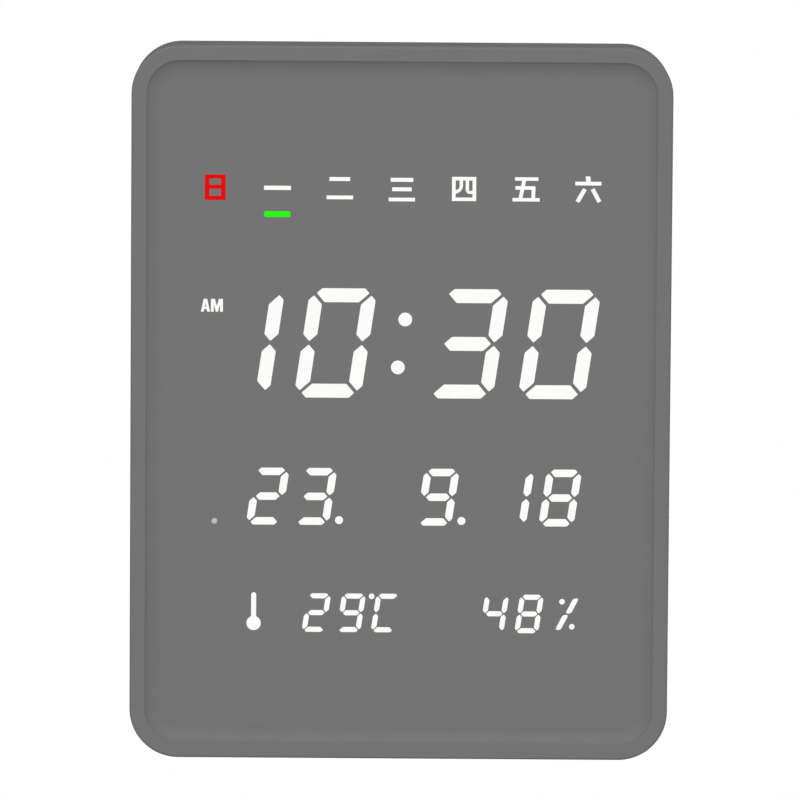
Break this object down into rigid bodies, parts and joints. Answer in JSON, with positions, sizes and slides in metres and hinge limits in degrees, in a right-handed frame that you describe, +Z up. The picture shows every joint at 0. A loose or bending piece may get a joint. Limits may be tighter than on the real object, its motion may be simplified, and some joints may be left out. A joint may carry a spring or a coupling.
{
  "type": "digital wall clock",
  "caption": "Upright rounded LED wall clock: recessed grey face with time, weekday, date, temperature and humidity, rear push buttons, battery door and fold-out leg.",
  "frame": {"origin": "middle of the flat back, on the wall plane", "axes": "+Z up along the tall side, +Y from the clock into the wall, so the face looks along -Y, +X to the right as seen from the front"},
  "size_m": [0.22, 0.03, 0.292],
  "materials": {
    "case_plastic": "matte, fine moulded grain",
    "button_plastic": "matte",
    "lamp_plastic": "milky, translucent",
    "foam_tape": "foam",
    "board_resin": "solder resist over glass resin",
    "black_plastic": "moulded",
    "white_plastic": "moulded",
    "pad_rubber": "soft, ribbed",
    "steel": "plated",
    "clear_plastic": "frosted light pipe"
  },
  "bodies": {
    "case": {"front_bezel": "case_plastic", "face_panel": "case_plastic", "face_tape": "foam_tape", "rear_cover": "case_plastic", "hours_tens_digit": "lamp_plastic", "hours_ones_digit": "lamp_plastic", "minutes_tens_digit": "lamp_plastic", "minutes_ones_digit": "lamp_plastic", "colon_lamp": "lamp_plastic", "year_digits": "lamp_plastic", "month_digits": "lamp_plastic", "day_digits": "lamp_plastic", "temperature_digits": "lamp_plastic", "humidity_digits": "lamp_plastic", "thermometer_lamp": "lamp_plastic", "weekday_lamps": "lamp_plastic", "am_pm_lamp": "lamp_plastic", "display_board": "board_resin", "light_sensor": "clear_plastic", "control_board": "board_resin", "clock_chip": "black_plastic", "crystal_can": "steel", "capacitor": "steel", "buzzer": "black_plastic", "climate_sensor": "white_plastic", "dc_jack": "black_plastic", "control_header": "white_plastic", "display_header": "white_plastic", "ribbon_cable": "foam_tape", "set_switch": "black_plastic", "up_switch": "black_plastic", "down_switch": "black_plastic", "alarm_switch": "black_plastic", "battery_holder": "black_plastic", "coin_cell": "steel", "battery_clip": "steel", "stand_pin": "steel", "case_screw_1": "steel", "case_screw_2": "steel", "case_screw_3": "steel", "case_screw_4": "steel", "case_screw_5": "steel", "case_screw_6": "steel", "display_screw_1": "steel", "display_screw_2": "steel", "display_screw_3": "steel", "display_screw_4": "steel", "board_screw_1": "steel", "board_screw_2": "steel", "board_screw_3": "steel", "board_screw_4": "steel"},
    "set_button": {"set_button": "button_plastic"},
    "up_button": {"up_button": "button_plastic"},
    "down_button": {"down_button": "button_plastic"},
    "alarm_button": {"alarm_button": "button_plastic"},
    "battery_door": {"battery_door": "case_plastic"},
    "stand": {"stand_leg": "case_plastic", "stand_foot_pad": "pad_rubber"}
  },
  "joints": [
    {"name": "set_press", "type": "slide", "parent": "case", "child": "set_button", "axis": [0, -1, 0], "range_m": [0, 0.0008], "stiffness_N_per_m": 1000},
    {"name": "up_press", "type": "slide", "parent": "case", "child": "up_button", "axis": [0, -1, 0], "range_m": [0, 0.0008], "stiffness_N_per_m": 1000},
    {"name": "down_press", "type": "slide", "parent": "case", "child": "down_button", "axis": [0, -1, 0], "range_m": [0, 0.0008], "stiffness_N_per_m": 1000},
    {"name": "alarm_press", "type": "slide", "parent": "case", "child": "alarm_button", "axis": [0, -1, 0], "range_m": [0, 0.0008], "stiffness_N_per_m": 1000},
    {"name": "battery_door_hinge", "type": "hinge", "parent": "case", "child": "battery_door", "pos_m": [0.0555, -0.0014, -0.0823], "axis": [-1, 0, 0], "range_deg": [0, 95]},
    {"name": "stand_hinge", "type": "hinge", "parent": "case", "child": "stand", "pos_m": [0, -0.0034, -0.026], "axis": [1, 0, 0], "range_deg": [0, 30]}
  ]
}
